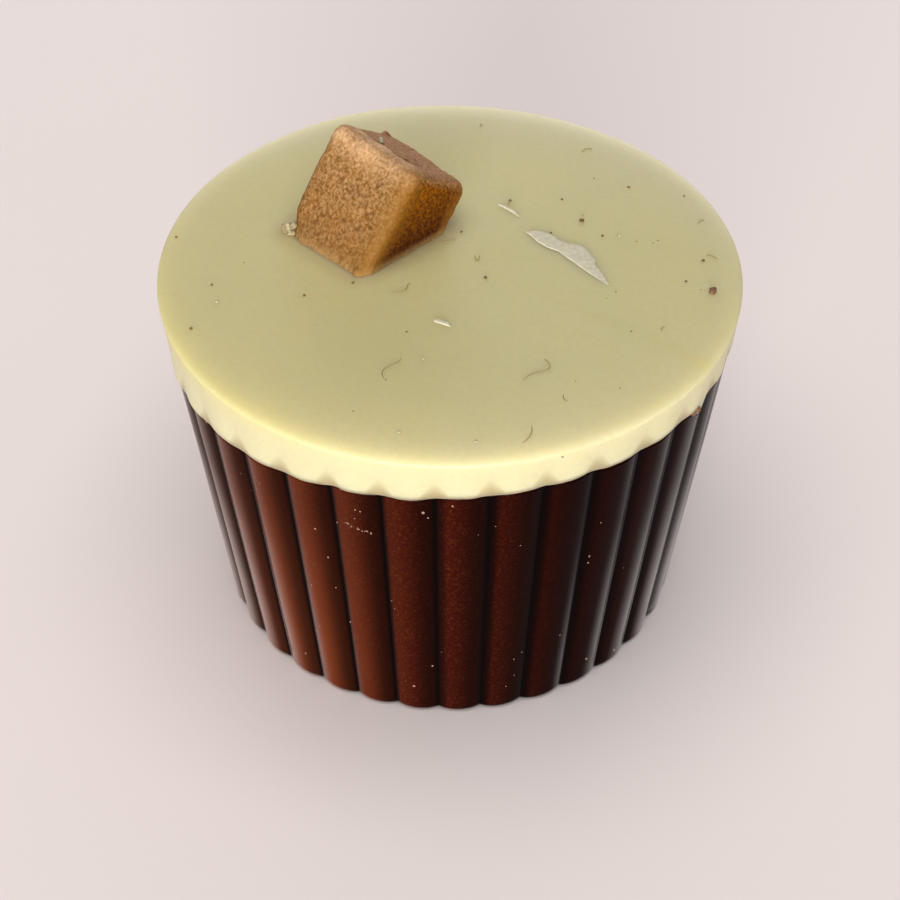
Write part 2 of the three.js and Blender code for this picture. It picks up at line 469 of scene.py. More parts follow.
def layer_rings(bearing):
    """Rings of the white layer from the line upwards: the lip, the band, on which the
    flutes and the lip's bulge fade, the shoulder by its turning angle, and the top by
    its share of the radius left. The angles crowd where the shoulder is nearly level,
    so that its rings stay even."""
    flutes = SOFT_DEPTH * valley_share(bearing, SOFT_ROUNDING, SOFT_POWER)
    line = line_height(bearing)
    shoulder = HEIGHT - RIM_DROP
    lip_rise, lip_out = LIP[-1]
    middle, spread, bulge = LEFT_BULGE
    plump = 1 + bulge / lip_out * bell(bearing, middle, spread)
    rings = []
    for rise, out in LIP:
        wall = crest_radius(bearing, line + rise) - flutes
        rings.append(around(bearing, wall + out * plump, line + rise))
    start = line + lip_rise
    for t in np.linspace(0, 1, BAND_ROWS + 1)[1:]:
        z = start + (shoulder - start) * t
        wall = crest_radius(bearing, z) - flutes * (1 - t)
        rings.append(around(bearing, wall + lip_out * plump * (1 - t) ** 2, z))
    edge = crest_radius(bearing, shoulder)
    level_left = 1 - np.linspace(0, 1, SHOULDER_ROWS + 1)[1:]
    for turn in np.pi / 2 * (1 - level_left**SHOULDER_CROWDING):
        inset = RIM_WIDTH * (1 - np.cos(turn) ** (2 / RIM_POWER))
        rings.append(around(bearing, edge - inset, shoulder + RIM_DROP * np.sin(turn)))
    for left in np.linspace(1, 0, TOP_ROWS + 1)[1:-1]:
        rings.append(around(bearing, (edge - RIM_WIDTH) * left, HEIGHT))
    return np.stack(rings)


# %% Build the white layer
bearing = column_bearings(LAYER_STEPS)
skin = layer_rings(bearing)
skin[..., 2] += top_relief(skin) * smooth_step(skin[..., 2], HEIGHT - RIM_DROP, HEIGHT)
under = dish_rings(bearing, LAYER_DISH_SHARES, DISH_GAP)
layer_grid = np.concatenate([under, skin])
layer_points, layer_faces = closed_stack(layer_grid)
above_line = np.maximum(layer_grid[..., 2] - line_height(bearing), 0).ravel()
soft_valley = np.tile(valley_share(bearing, SOFT_ROUNDING, SOFT_POWER), len(layer_grid))
# above_line and valley place the thin edge's colour, partly painted shade, and from_block places
# the browning by the block, partly painted shade.
layer_attributes = {
    "above_line": np.append(above_line, [0, HEIGHT - LINE_HEIGHT]),
    "valley": np.append(soft_valley, [0, 0]),
    "from_block": np.abs(block_distance(layer_points)),
}
layer = make_piece("white_layer", layer_points, layer_faces, layer_attributes)

# %% [markdown]
# ## The fudge block
#
# Fudge is boiled sugar and cream, cut into blocks: its faces are grainy with fine
# pits, and handling has rubbed its edges smooth. The block is a cube's surface grid
# pushed out to the rounded form and then roughened along its normals. The square of
# a normal's part along an axis says how squarely a point faces that way.

# %% A rounded block of many small faces
BLOCK_CELLS = 96


def cube_lattice(cells):
    """The surface of a cube as whole-number places, and faces that index them: six
    square grids whose shared edges are merged."""
    step = np.arange(cells)
    i, j = (g.ravel() for g in np.meshgrid(step, step, indexing="ij"))
    square = np.stack([i, j, i + 1, j, i + 1, j + 1, i, j + 1], axis=-1).reshape(-1, 4, 2)
    sides = []
    for axis in range(3):
        for level in (0, cells):
            corners = np.insert(square, axis, level, axis=-1)
            forward = (axis != 1) == (level == cells)
            sides.append(corners if forward else corners[:, ::-1])
    corners = np.concatenate(sides).reshape(-1, 3)
    places, index = np.unique(corners, axis=0, return_inverse=True)
    return places, index.reshape(-1, 4)


def rounded_block(places):
    """Points and outward directions of the rounded block: each place is pulled back to
    the core block and pushed out again by the radius of the edges."""
    half = BLOCK_SIDES / 2
    sharp = (places / BLOCK_CELLS * 2 - 1) * half
    core = np.clip(sharp, BLOCK_ROUNDING - half, half - BLOCK_ROUNDING)
    out = sharp - core
    out /= np.linalg.norm(out, axis=1, keepdims=True)
    return core + BLOCK_ROUNDING * out, out


places, block_faces = cube_lattice(BLOCK_CELLS)
own, outward = rounded_block(places)
toward = np.maximum(outward, 0) ** 2
away = np.maximum(-outward, 0) ** 2
print(f"block: {len(places)} points")

# %% [markdown]
# The upper face has a crack near its front edge, where the crust lifted as the block
# was pushed in. It follows a short path across the face, and a groove is cut where a
# point's distance to that path is small; the points keep that nearness too, for the
# painted shade in the crack. Two nubs and the bite out of the lower left corner are
# bells, each with its place, its reach and its height. The points also keep how near
# they are to the edges that are seen, where a paler colour is painted: partly wear,
# partly painted light for the light that comes out again near the edges of fudge.
# The upper one is less pale towards its right end.

# %% Grain, pits and the crack
GRAIN = ((1.4, 0.05), (0.45, 0.03), (0.22, 0.03), (0.15, 0.02))
PIT_CELL = 0.2
PIT_STRETCH = np.array([1, 1, 0.7])
PIT_THRESHOLD = 0.35
PIT_DEPTH = 0.07
CRACK = np.array([(-1.3, 1.5), (-1.2, 0.8), (-1.4, 0), (-1.5, -0.8), (-0.9, -1.15), (-0.1, -1.6)])
CRACK_DEPTH = 0.25
CRACK_WIDTH = 0.11
CRACK_WANDER = 0.12
WANDER_CELL = 0.5
CRUST_LIFT = 0.06
CRUST_START = (1.35, 1.6)
WEAR = (
    ((1.7, 3.0, 4.1), 0.3, 0.25),
    ((-3.0, -2.95, -2.7), 0.3, 0.25),
    ((-3.0, 3.6, -3.2), 1.0, -0.65),
)


def path_distance(flat, path):
    """Distance from points to a bent path: the least of the distances to its parts."""
    nearest = np.full(len(flat), np.inf)
    for start, end in zip(path, path[1:], strict=False):
        along = end - start
        t = np.clip((flat - start) @ along / (along @ along), 0, 1)
        gap = flat - start - t[:, None] * along
        nearest = np.minimum(nearest, np.linalg.norm(gap, axis=1))
    return nearest


def near_edge(first, second, reach):
    """1 on the sharp edge where two sides meet, each given as its axis and sign, and
    less further in: e to the power of minus the square of the gap over the reach."""
    gaps = [BLOCK_SIDES[axis] / 2 - sign * own[:, axis] for axis, sign in (first, second)]
    return np.exp(-((np.hypot(*gaps) / reach) ** 2))


def mark(place, reach, height):
    """A nub, or a bite where the height is negative: the height times e to the power
    of minus the square of the distance from the place over the reach."""
    return height * np.exp(-((np.linalg.norm(own - place, axis=1) / reach) ** 2))


# %% Edges that are seen
LEFT, RIGHT, UP, BACK = (0, -1), (1, -1), (2, 1), (0, 1)
STANDING_WEAR = 0.5
UPPER_WEAR = 0.25
PALE_END = 0.4
PALE_SPAN = (-3.4, -1.4)

# The nearness to the edges that are seen carries the edges' paler colour: partly wear, partly
# painted light.
standing_edge = near_edge(LEFT, RIGHT, reach=1.15)
upper_edge = near_edge(LEFT, UP, reach=1.4)
far_edge = near_edge(RIGHT, BACK, reach=1.1)
worn = 1 - STANDING_WEAR * standing_edge - UPPER_WEAR * upper_edge
paleness = PALE_END + (1 - PALE_END) * smooth_step(own[:, 1], *PALE_SPAN)
print(f"wear leaves {worn.min():.2f} of the grain at least")

# %% Relief of the block
grain = sum(size * smooth_noise(own, cell, seed=31) for cell, size in GRAIN) * worn
dents = smooth_noise(own * PIT_STRETCH, PIT_CELL, seed=34) - PIT_THRESHOLD
pits = np.clip(dents, 0, 1) * worn
wander = own[:, :2] + CRACK_WANDER * smooth_noise(own, WANDER_CELL, seed=36)[:, None]
crack = np.exp(-((path_distance(wander, CRACK) / CRACK_WIDTH) ** 2)) * toward[:, 2]
crust = smooth_step(-own[:, 0], *CRUST_START) * toward[:, 2]
push = grain - PIT_DEPTH * pits - CRACK_DEPTH * crack + CRUST_LIFT * (crust - 1)
push += sum(mark(*bump) for bump in WEAR)
print(f"relief: from {push.min():.2f} to {push.max():.2f} mm")

# %% Build the block
# PIT_SHADE and GRAIN_SHADE set a painted shade: the pits, and the low places of the grain, are
# darkened in the material.
PIT_SHADE = 2
GRAIN_SHADE = 4

block_points = (own + outward * push[:, None]) @ block_axes.T + BLOCK_CENTRE
# The crack carries a painted shade into its groove, and the three edges a paler colour that is
# partly wear and partly painted light.
block_attributes = {
    "pit": pits * PIT_SHADE - grain * GRAIN_SHADE,
    "crack": crack,
    "right_side": away[:, 1],
    "upper_side": toward[:, 2] * (1 - crust),
    "standing_edge": standing_edge,
    "upper_edge": np.maximum(upper_edge, crust) * paleness,
    "far_edge": far_edge,
    "above_top": block_points[:, 2] - HEIGHT,
}
block = make_piece("fudge_chunk", block_points, block_faces.tolist(), block_attributes)

# %% [markdown]
# ## Shavings of white chocolate
#
# One broad shaving lies right of the middle, torn and frosted, with a needle beside
# it and a small streak in front. A shaving is carried along a straight path, and
# stations on the way give where its two long sides are. Its section is a flat-topped
# superellipse, so that it reads as a scrap and not as a ridge. Its frost is two
# sizes of noise, each with a cell, a height and a step of the seed.

# %% Shavings
SHAVING_ROWS = 110
SHAVING_COLUMNS = 28
STATIONS = np.array([0, 0.07, 0.18, 0.29, 0.39, 0.48, 0.66, 0.77, 0.88, 1])
BROAD_UPPER = np.array([0, 0.62, 0.98, 0.93, 1.1, 1.6, 1.22, 0.7, 0.45, 0.05])
BROAD_LOWER = np.array([0, -0.02, -0.16, -0.11, 0.12, 0.05, 0.0, -0.05, -0.05, -0.03])
NEEDLE = 0.1 * np.sqrt(np.sin(np.pi * STATIONS))
STREAK = 1.5 * NEEDLE
TORN = 0.07
TEARS = 40
FROST_LEVEL = 0.85
FROST = ((0.3, 0.22, 1), (0.14, 0.1, 0))
RAISED_EDGE = 0.15
EDGE_POWER = 6
THIN_TAIL = (0.62, 1.0)
TAIL_LOSS = 0.75
QUICK_START = (-0.02, 0.05)


def shaving(start, end, upper, lower, height, bow, seed):
    """A torn scrap on the top: sections across a path from its lower to its upper
    side, each a superellipse, roughened by noise and thin at the tail. A parabola
    bows it aside."""
    t = np.linspace(0, 1, SHAVING_ROWS)[:, None]
    along = np.subtract(end, start)
    across = np.array([-along[1], along[0]]) / np.linalg.norm(along)
    torn = TORN * smooth_noise(np.stack([t * TEARS, t * 0, t * 0], axis=-1), 1.0, seed)
    high = np.interp(t, STATIONS, upper) * (1 + torn)
    low = np.interp(t, STATIONS, lower) * (1 - torn)
    turn = np.linspace(0, 2 * np.pi, SHAVING_COLUMNS, endpoint=False)[None]
    wide, thick = (np.sign(w) * np.sqrt(np.abs(w)) for w in (np.cos(turn), np.sin(turn)))
    aside = (high + low) / 2 + (high - low) / 2 * wide + bow * 4 * t * (1 - t)
    x, y = (start[i] + along[i] * t + across[i] * aside for i in range(2))
    place = np.stack([x, y, 0 * x], axis=-1)
    frost = sum(size * smooth_noise(place, cell, seed + step) for cell, size, step in FROST)
    edge = 1 + RAISED_EDGE * np.abs(wide) ** EDGE_POWER
    upper_side = np.where(thick > 0, (FROST_LEVEL + frost) * edge, 1)
    tail = (1 - TAIL_LOSS * smooth_step(t, *THIN_TAIL)) * smooth_step(t, *QUICK_START)
    z = top_height(x, y) + height * thick * upper_side * tail
    return np.stack([x, y, z], axis=-1)


shavings = [
    shaving((4.54, 2.62), (9.3, -2.57), BROAD_UPPER, BROAD_LOWER, height=0.09, bow=0, seed=41),
    shaving((2.95, 5.4), (4.3, 4.05), NEEDLE, -NEEDLE, height=0.1, bow=0.1, seed=43),
    shaving((-0.95, -5.93), (0.05, -6.43), STREAK, -STREAK, height=0.12, bow=0.12, seed=45),
]
shaving_piece = make_piece("white_shavings", *joined(shavings))

# %% [markdown]
# ## Specks and crumbs
#
# A rough ball is a stack of a few rings, each point moved in or out by noise that is
# different for every ball. The same balls, flattened, serve as specks of white on
# the top, crumbs of dark chocolate there, and pale specks on the dark wall. The
# larger ones have a place, and the finest are strewn by chance from a fixed seed.
# Three of the white specks lie on the block's upper side, placed by its own axes,
# where they are partly crumbs of white and partly a painted highlight. Five balls
# make the lump at its left corner. Two crumbs cling to the wall at the line,
# unflattened.

# %% Rough balls
LUMPINESS = 0.45
LUMP_CELL = 0.7
SEED_SHIFT = 0.37
RAISED_SHARE = 0.2


def rough_ball(centre, radius, seed, squash=0.7, rows=6, columns=9):
    """A lumpy ball: rings from pole to pole, each point's radius varied by noise."""
    lat = np.linspace(-np.pi / 2, np.pi / 2, rows + 2)[1:-1, None]
    lon = np.linspace(0, 2 * np.pi, columns, endpoint=False)[None]
    unit = [np.cos(lat) * np.cos(lon), np.cos(lat) * np.sin(lon), np.sin(lat)]
    unit = np.stack(np.broadcast_arrays(*unit), axis=-1)
    lumps = 1 + LUMPINESS * smooth_noise(unit + seed * SEED_SHIFT, LUMP_CELL, seed)
    return centre + radius * unit * lumps[..., None] * np.array([1, 1, squash])


def on_top(places, seed):
    """A rough ball lying on the poured top for each (x, y, radius)."""
    balls = []
    for i, (x, y, radius) in enumerate(places):
        centre = np.array([x, y, top_height(x, y) + RAISED_SHARE * radius])
        balls.append(rough_ball(centre, radius, seed + i))
    return balls


# %% White specks
WHITE_SPECKS = [
    (-13.6, -4.0, 0.11), (-7.8, -6.4, 0.06), (-1.5, -9.3, 0.09), (2.0, 14.2, 0.1),
    (10.2, 2.2, 0.1), (-2.8, -15.2, 0.1), (1.4, -15.9, 0.09), (6.1, -16.6, 0.08),
]
LUMP = [
    (-9.85, 2.75, 0.05, 0.3),
    (-9.6, 2.4, 0.1, 0.27),
    (-9.75, 2.6, 0.4, 0.27),
    (-9.5, 2.45, 0.55, 0.24),
    (-9.95, 2.6, 0.45, 0.18),
]
LUMP_SHAPE = {"squash": 0.9, "rows": 10, "columns": 14}
LUMP_SEED = 70
# The glints are pale grains on the block, partly crumbs of white and partly a painted highlight.
GLINTS = [(-1.3, 0.8, 4.26), (-1.05, 1.1, 4.26), (-0.8, 1.35, 4.26)]
GLINT_RADIUS = 0.14
GLINT_SEED = 80

lump = [
    rough_ball(np.array([x, y, HEIGHT + up]), radius, LUMP_SEED + i, **LUMP_SHAPE)
    for i, (x, y, up, radius) in enumerate(LUMP)
]
glints = [
    rough_ball(np.array(place) @ block_axes.T + BLOCK_CENTRE, GLINT_RADIUS, GLINT_SEED + i)
    for i, place in enumerate(GLINTS)
]
specks = make_piece("white_specks", *joined(on_top(WHITE_SPECKS, seed=50) + glints))
corner_lump = make_piece("tan_lump", *joined(lump))

# %% Crumbs of dark chocolate
CRUMBS = [
    (15.4, -2.9, 0.25), (15.55, -2.6, 0.16), (15.1, 0.0, 0.096), (13.9, -2.1, 0.08),
    (14.5, 6.7, 0.072), (11.1, 7.3, 0.08), (3.7, 5.8, 0.096), (6.9, 5.9, 0.08),
    (8.0, 3.7, 0.15), (6.1, 2.5, 0.072), (9.2, 2.2, 0.08), (-14.9, -6.2, 0.104),
    (-14.0, -2.4, 0.08), (-8.5, -3.6, 0.088), (-5.7, -2.4, 0.088), (2.1, -1.9, 0.104),
    (0.7, 2.6, 0.08), (-16.6, 2.7, 0.08),
]
LOOSE_CRUMBS = 16
LOOSE_REACH = 15.0
LOOSE_SIZES = (0.03, 0.055)
rng = np.random.default_rng(seed=61)
loose_far = LOOSE_REACH * np.sqrt(rng.uniform(0, 1, LOOSE_CRUMBS))
loose_turn = rng.uniform(0, 2 * np.pi, LOOSE_CRUMBS)
loose_size = rng.uniform(*LOOSE_SIZES, LOOSE_CRUMBS)
loose_x, loose_y = loose_far * np.cos(loose_turn), loose_far * np.sin(loose_turn)
loose = np.stack([loose_x, loose_y, loose_size], axis=-1)


def on_wall(places, seed, flatness=0.6):
    """A rough ball pressed flat against the wall for each (bearing, height, radius)."""
    balls = []
    for i, (at, z, radius) in enumerate(places):
        centre = cup_wall(np.array([at]), np.array([z]))[0]
        out = around(np.array(at), 1.0, 0.0)
        ball = rough_ball(np.zeros(3), radius, seed + i, squash=1)
        balls.append(centre + ball - out * (ball @ out)[..., None] * flatness)
    return balls


LINE_CRUMBS = [(56.0, 20.75, 0.28), (55.0, 20.6, 0.17)]
crumb_balls = on_top(CRUMBS + loose.tolist(), seed=90)
crumb_balls += on_wall(LINE_CRUMBS, seed=190, flatness=0.0)
crumbs = make_piece("dark_crumbs", *joined(crumb_balls))

# %% [markdown]
# ## Hair-fine curls
#
# Dry strands of chocolate, finer than a hair to the eye, lie here and there in short
# bends. Each is a thin tube along the cubic that passes nearest to a few places on
# its path.

# %% Curls
CURL_RADIUS = 0.032
CURL_ROWS = 20
CURL_COLUMNS = 6
CURL_END = 0.08
SUNK_SHARE = 0.5
CURLS = [
    [(-3.7, -10.95), (-3.7, -10.2), (-3.15, -9.75), (-2.75, -9.3)],
    [(4.1, -11.15), (4.6, -10.5), (5.3, -10.45), (5.6, -9.9), (5.35, -9.35)],
    [(4.45, -14.7), (4.4, -15.35), (3.95, -15.95)],
    [(6.3, -12.3), (6.3, -12.6), (6.5, -12.8)],
    [(-3.3, -3.25), (-2.65, -3.1), (-2.5, -2.7), (-2.3, -2.4)],
    [(-0.55, 1.55), (-0.1, 1.65), (0.3, 1.9)],
    [(1.5, 0.25), (1.55, -0.2), (1.68, -0.25), (1.75, 0.25)],
    [(8.35, 11.15), (8.6, 11.5), (9.05, 11.6)],
    [(15.1, 3.75), (15.3, 4.1), (15.55, 4.25)],
    [(15.35, 0.6), (15.7, 0.55), (16.0, 0.3)],
    [(12.15, -6.7), (12.2, -6.45), (12.35, -6.3)],
]


def curl(path):
    """A tube whose path is a cubic fitted to the given places, thinner at its ends."""
    path = np.array(path)
    known = np.linspace(0, 1, len(path))
    t = np.linspace(0, 1, CURL_ROWS)
    order = min(3, len(path) - 1)
    x, y = (np.polyval(np.polyfit(known, side, order), t) for side in path.T)
    forward = np.gradient(np.stack([x, y], axis=-1), axis=0)
    forward /= np.linalg.norm(forward, axis=1, keepdims=True)
    side = np.stack([-forward[:, 1], forward[:, 0], 0 * t], axis=-1)[:, None]
    middle = np.stack([x, y, top_height(x, y) + CURL_RADIUS * SUNK_SHARE], axis=-1)[:, None]
    turn = np.linspace(0, 2 * np.pi, CURL_COLUMNS, endpoint=False)[None, :, None]
    swollen = np.sqrt(np.sin(np.pi * (CURL_END + (1 - 2 * CURL_END) * t)))
    radius = CURL_RADIUS * swollen[:, None, None]
    return middle + radius * (np.cos(turn) * side + np.sin(turn) * np.array([0, 0, 1]))


curls = make_piece("fine_curls", *joined([curl(path) for path in CURLS]))

# %% [markdown]
# ## Specks on the dark wall
#
# Pale dust and a scuff cling to the dark flutes. They are rough balls again, set on
# the wall by bearing and height and pressed almost flat against it. The scuff is a
# row of them, scattered a little about a line from its start to its end.

# %% Wall specks
WALL_SPECKS = [
    (-20.7, 20.45, 0.12), (-61.0, 19.55, 0.08), (-57.5, 19.25, 0.08), (-18.3, 18.9, 0.056),
    (-17.3, 18.85, 0.048), (-18.6, 18.1, 0.04), (-27.9, 16.0, 0.064), (-51.5, 12.1, 0.072),
    (-26.0, 13.6, 0.064), (-31.7, 10.1, 0.048), (-25.3, 10.8, 0.048), (-23.1, 7.6, 0.064),
    (-37.5, 2.3, 0.056), (-8.6, 2.6, 0.088), (-4.1, 4.7, 0.064), (-5.1, 19.4, 0.088),
    (-4.2, 18.9, 0.056), (0.5, 20.1, 0.064), (30.5, 13.0, 0.064), (30.5, 12.4, 0.056),
    (25.9, 6.1, 0.048), (14.9, 4.9, 0.048), (35.1, 2.2, 0.08), (45.1, 1.1, 0.08),
]
SCUFF_MARKS = 16
SCUFF_START = (-20.6, 17.55)
SCUFF_END = (-15.4, 16.95)
SCUFF_SCATTER = (0.25, 0.09)
SCUFF_SIZES = (0.025, 0.06)
DUST = 70
DUST_RANGES = ((-180, 180), (0.6, 18.5), (0.02, 0.042))
rng = np.random.default_rng(seed=62)
along = np.linspace(0, 1, SCUFF_MARKS)[:, None]
scuff = np.array(SCUFF_START) * (1 - along) + np.array(SCUFF_END) * along
scuff += rng.normal(0, 1, scuff.shape) * np.array(SCUFF_SCATTER)
scuff = np.append(scuff, rng.uniform(*SCUFF_SIZES, (SCUFF_MARKS, 1)), axis=1)
dust = np.stack([rng.uniform(*ends, DUST) for ends in DUST_RANGES], axis=-1)
wall_balls = on_wall([*WALL_SPECKS, *scuff.tolist(), *dust.tolist()], seed=130)
wall_specks = make_piece("wall_specks", *joined(wall_balls))

# %% [markdown]
# ## Materials
#
# Colours are written as sRGB hex, the way a colour picker gives them, and one
# function turns them into the linear light that the renderer works in. One helper
# adds a shader node with its settings and links, and hands back the output that the
# next node reads. Patterns read Object coordinates, in metres, so a pattern's scale
# is one over the real size of its features. Attributes that are lengths, such as the
# height above the line, stay in millimetres.
#
# A finish is painted in coats. Each lays one more colour over what is there, by a
# share that a Map Range node works out, and a Mix node blends the two. A Mix node
# takes the share in socket 0 and the colours in 6 and 7, and gives the result from
# output 2.

# %% Colour and node helpers
def linear(hex_colour):
    """sRGB hex to linear RGBA, by the sRGB curve."""
    srgb = np.array([int(hex_colour[i : i + 2], 16) for i in (1, 3, 5)]) / 255
    rgb = np.where(srgb <= 0.04045, srgb / 12.92, ((srgb + 0.055) / 1.055) ** 2.4)
    return (*rgb.tolist(), 1.0)


def per_mm(size):
    """The scale that makes a pattern's features so many millimetres wide."""
    return 1 / (size * MM)


def add(tree, kind, inputs=None, output=0, **settings):
    """Adds a node and returns one of its outputs. Settings are its own properties,
    and each input is a value or another node's output."""
    node = tree.nodes.new("ShaderNode" + kind)
    for name, value in settings.items():
        setattr(node, name, value)
    for socket, value in (inputs or {}).items():
        if isinstance(value, bpy.types.NodeSocket):
            tree.links.new(value, node.inputs[socket])
        else:
            node.inputs[socket].default_value = value
    return node.outputs[output] if node.outputs else None


def new_material(name):
    """An empty material, its node tree, and the Object coordinates in it."""
    material = bpy.data.materials.new(name)
    material.use_nodes = True
    tree = material.node_tree
    tree.nodes.clear()
    return material, tree, add(tree, "TexCoord", output="Object")


EVEN, EASED = "LINEAR", "SMOOTHSTEP"


def painted(tree, colour, coats):
    """Lays coats over a colour and returns the result. A coat says what it follows,
    the values where it is bare and where it is full, its share when full, whether the
    share changes evenly or with eased ends, and its colour: hex, or a node's output."""
    colour = linear(colour) if isinstance(colour, str) else colour
    for follows, bare, full, strength, rise, over in coats:
        ramp = {"Value": follows, "From Min": bare, "From Max": full, "To Max": strength}
        share = add(tree, "MapRange", ramp, interpolation_type=rise)
        over = linear(over) if isinstance(over, str) else over
        colour = add(tree, "Mix", {0: share, 6: colour, 7: over}, 2, data_type="RGBA")
    return colour


# %% [markdown]
# ### Tempered dark chocolate
#
# Well-tempered chocolate leaves the mould with a satin gloss, because its fat sets
# as tight crystals against the polished wall. Its brown is deep and finely flecked.
# Light and shade are painted on it too: a warm painted light on the left, painted
# shade towards the right and on the right flank of each lobe, and painted shade that
# is nearly black in the valleys. Right of the middle the left flanks get painted shade
# too. Seen square on, the real one hardly shines, but the flanks of its lobes flare.
# So the base has a very low index, and a glossy coat grows with the slant at which
# the wall is seen. Both the painted light and the gloss fade upwards, where the wall
# sees less of the bright floor.

# %% Dark chocolate
def dark_chocolate():
    material, tree, place = new_material("tempered_dark_chocolate")
    mottle = add(tree, "TexNoise", {"Vector": place, "Scale": per_mm(0.17), "Detail": 2.0})
    sideways = add(tree, "SeparateXYZ", {"Vector": place}, "X")
    upward = add(tree, "SeparateXYZ", {"Vector": place}, "Z")
    valley = add(tree, "Attribute", output="Fac", attribute_name="valley")
    across = add(tree, "Attribute", output="Fac", attribute_name="across")
    height = {"Value": upward, "From Min": 4 * MM, "To Min": 1.0}
    # The painted light on the left is fullest low down and fades upwards.
    painted_light_low = add(tree, "MapRange", {**height, "From Max": 18 * MM, "To Max": 0.4})
    shiny_low = add(tree, "MapRange", {**height, "From Max": 15 * MM, "To Max": 0.2})
    from_middle = {"Value": sideways, "From Min": -2.5 * MM, "From Max": 0.0, "To Max": 0.85}
    right_half = add(tree, "MapRange", from_middle)
    slant = add(tree, "LayerWeight", output="Facing")
    # The first coat is painted light on the left. The flecks are the chocolate's own. The last
    # four coats are painted shade: towards the right, on the right flanks, on the left flanks
    # right of the middle, and in the valleys.
    coats = (
        (sideways, -1 * MM, -12 * MM, painted_light_low, EASED, "#77371A"),  # warm on the left
        (mottle, 0.5, 0.75, 0.3, EVEN, "#6E3A18"),  # flecks
        (sideways, -1 * MM, 7 * MM, 0.92, EVEN, "#100201"),  # cool on the right
        (across, -0.6, 0.75, 0.85, EASED, "#0C0201"),  # right flanks
        (across, -0.5, -0.8, right_half, EASED, "#080202"),  # left flanks
        (valley, 0.5, 0.95, 1.0, EASED, "#050202"),  # valleys
    )
    grazing = {"Value": slant, "From Min": 0.57, "From Max": 0.83, "To Max": shiny_low}
    inputs = {
        "Base Color": painted(tree, "#330A04", coats),
        "Roughness": 0.2,
        "IOR": 1.07,
        "Coat Weight": add(tree, "MapRange", grazing, interpolation_type=EASED),
        "Coat IOR": 3.4,
        "Coat Roughness": 0.07,
        "Normal": add(tree, "Bump", {"Height": mottle, "Distance": 0.005 * MM}),
    }
    add(tree, "OutputMaterial", {"Surface": add(tree, "BsdfPrincipled", inputs)})
    return material


finish_piece(cup, dark_chocolate(), "dark_chocolate", "dark_chocolate_cup")

# %% [markdown]
# ### White chocolate
#
# White chocolate is cocoa butter, milk and sugar: an ivory fat that light enters a
# few millimetres deep before it comes back, so its shadows are soft. The moulded band
# is painted paler than the poured top, a painted sheen. Its thin lower edge is a
# little browner, partly where the dark shows through and partly painted shade under
# the lip, and it reaches higher in the valleys as painted shade in the creases. Near
# the fudge it is browner too, partly a stain where the fudge has bled into it and
# partly painted shade at the block's foot.

# %% White chocolate
def white_chocolate():
    material, tree, place = new_material("white_chocolate")
    clouds = add(tree, "TexNoise", {"Vector": place, "Scale": per_mm(6), "Detail": 2.0})
    mottle = add(tree, "TexNoise", {"Vector": place, "Scale": per_mm(0.35), "Detail": 3.0})
    above = add(tree, "Attribute", output="Fac", attribute_name="above_line")
    valley = add(tree, "Attribute", output="Fac", attribute_name="valley")
    gap = add(tree, "Attribute", output="Fac", attribute_name="from_block")
    # How high the thin edge's painted shade reaches: higher in the valleys.
    deeper = {"Value": valley, "From Min": 0.2, "From Max": 0.55, "To Min": 0.4, "To Max": 1.7}
    edge_height = add(tree, "MapRange", deeper)
    # The band's coat is a painted sheen. The coat near the block is partly a stain and partly
    # painted shade at its foot. The thin edge's coat is partly the dark showing through and
    # partly painted shade under the lip and in the valleys.
    coats = (
        (clouds, 0.3, 0.7, 1.0, EVEN, "#C8BD87"),  # slow changes
        (above, 4.0, 2.2, 0.8, EASED, "#C9C19C"),  # the moulded band
        (mottle, 0.4, 0.7, 0.2, EVEN, "#B6AD80"),  # fine specks
        (gap, 1.2, 0.0, 0.4, EASED, "#A98658"),  # fudge that has bled
        (above, edge_height, 0.0, 0.65, EASED, "#86683A"),  # the thin edge
    )
    inputs = {
        "Base Color": painted(tree, "#C3BA87", coats),
        "Roughness": 0.45,
        "IOR": 1.45,
        "Subsurface Weight": 0.85,
        "Subsurface Radius": (1.0, 0.85, 0.5),
        "Subsurface Scale": 3.0 * MM,
        "Normal": add(tree, "Bump", {"Height": mottle, "Distance": 0.006 * MM}),
    }
    add(tree, "OutputMaterial", {"Surface": add(tree, "BsdfPrincipled", inputs)})
    return material


finish_piece(layer, white_chocolate(), "white_chocolate", "white_chocolate_layer")
